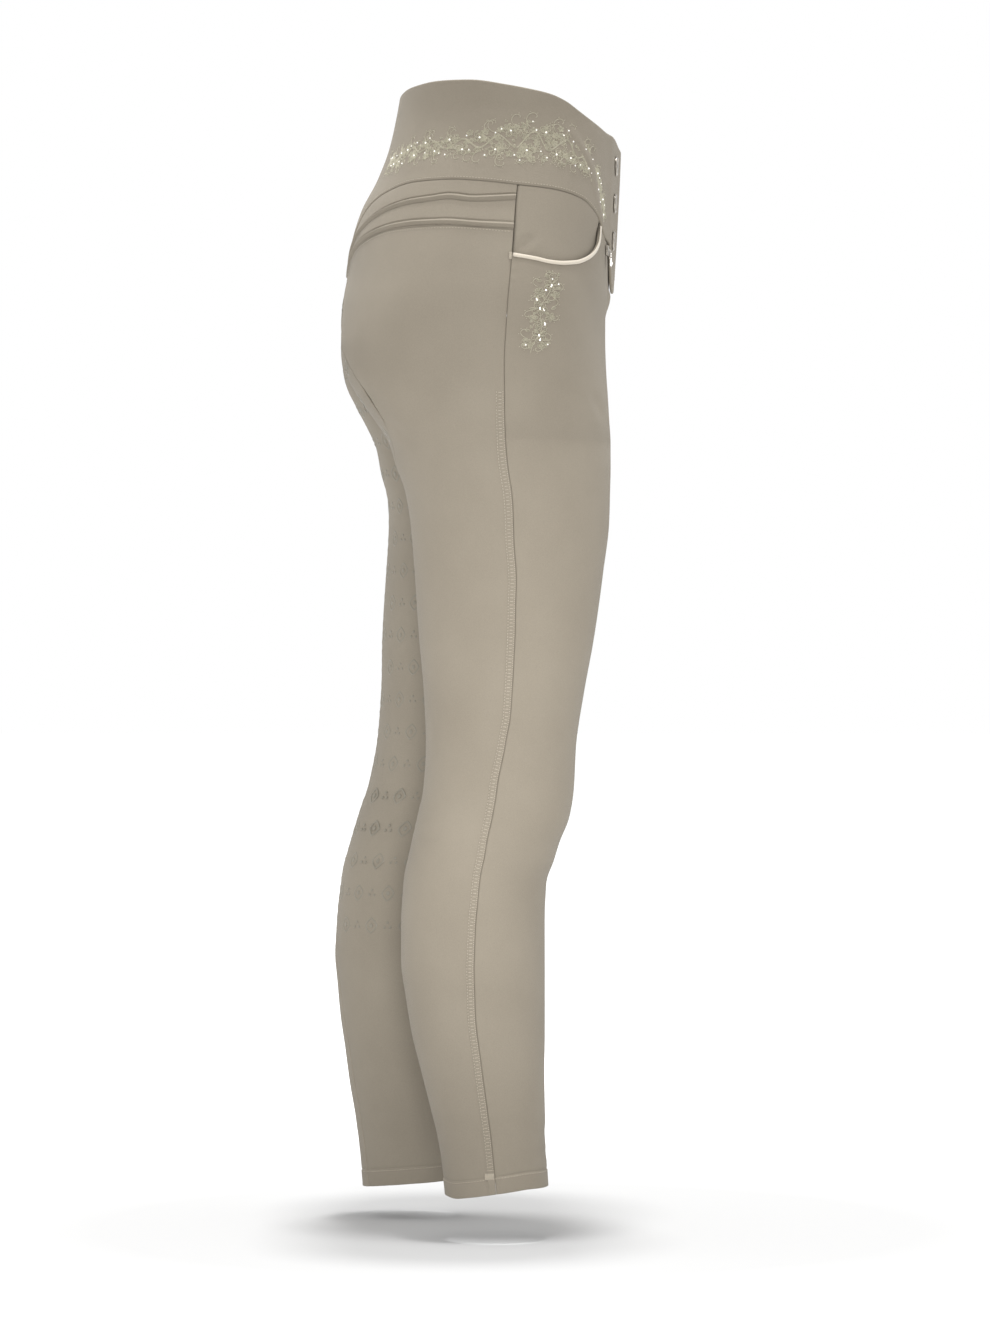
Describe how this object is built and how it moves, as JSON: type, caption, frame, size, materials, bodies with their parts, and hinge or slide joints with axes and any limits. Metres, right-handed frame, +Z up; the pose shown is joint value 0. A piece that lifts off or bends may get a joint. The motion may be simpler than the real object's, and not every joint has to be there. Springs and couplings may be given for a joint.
{
  "type": "riding breeches",
  "caption": "Slim high-waisted riding breeches, hollow worn form: wide stretch waistband with snapped flap, back yoke with raised tucks, front pockets, full-seat grip panels.",
  "frame": {"origin": "inside the waistband, on the middle plane, 28 mm above the front top edge's corner height", "axes": "+X to the wearer's front, +Y to the wearer's left, +Z up"},
  "size_m": [0.2568, 0.347, 0.983],
  "materials": {
    "stretch_cloth": "matte stretch twill",
    "grip_cloth": "matte stretch cloth with silicone grip print",
    "satin_binding": "satin",
    "silver_metal": "warm silver"
  },
  "bodies": {
    "breeches": {"waistband_right": "stretch_cloth", "back_yoke_right": "stretch_cloth", "front_leg_right": "stretch_cloth", "back_leg_right": "stretch_cloth", "seat_grip_panel_right": "grip_cloth", "pocket_facing_right": "stretch_cloth", "pocket_binding_right": "satin_binding", "waistband_left": "stretch_cloth", "back_yoke_left": "stretch_cloth", "front_leg_left": "stretch_cloth", "back_leg_left": "stretch_cloth", "seat_grip_panel_left": "grip_cloth", "pocket_facing_left": "stretch_cloth", "pocket_binding_left": "satin_binding", "snap_1": "silver_metal", "snap_2": "silver_metal", "snap_3": "silver_metal", "fly_zip_slider": "silver_metal"},
    "zip_pull": {"fly_zip_pull": "silver_metal"}
  },
  "joints": [
    {"name": "zip_pull_hinge", "type": "hinge", "parent": "breeches", "child": "zip_pull", "pos_m": [0.08932, -0.0698, -0.122], "axis": [-0.1489, -0.9888, 0], "range_deg": [0, 140]}
  ]
}
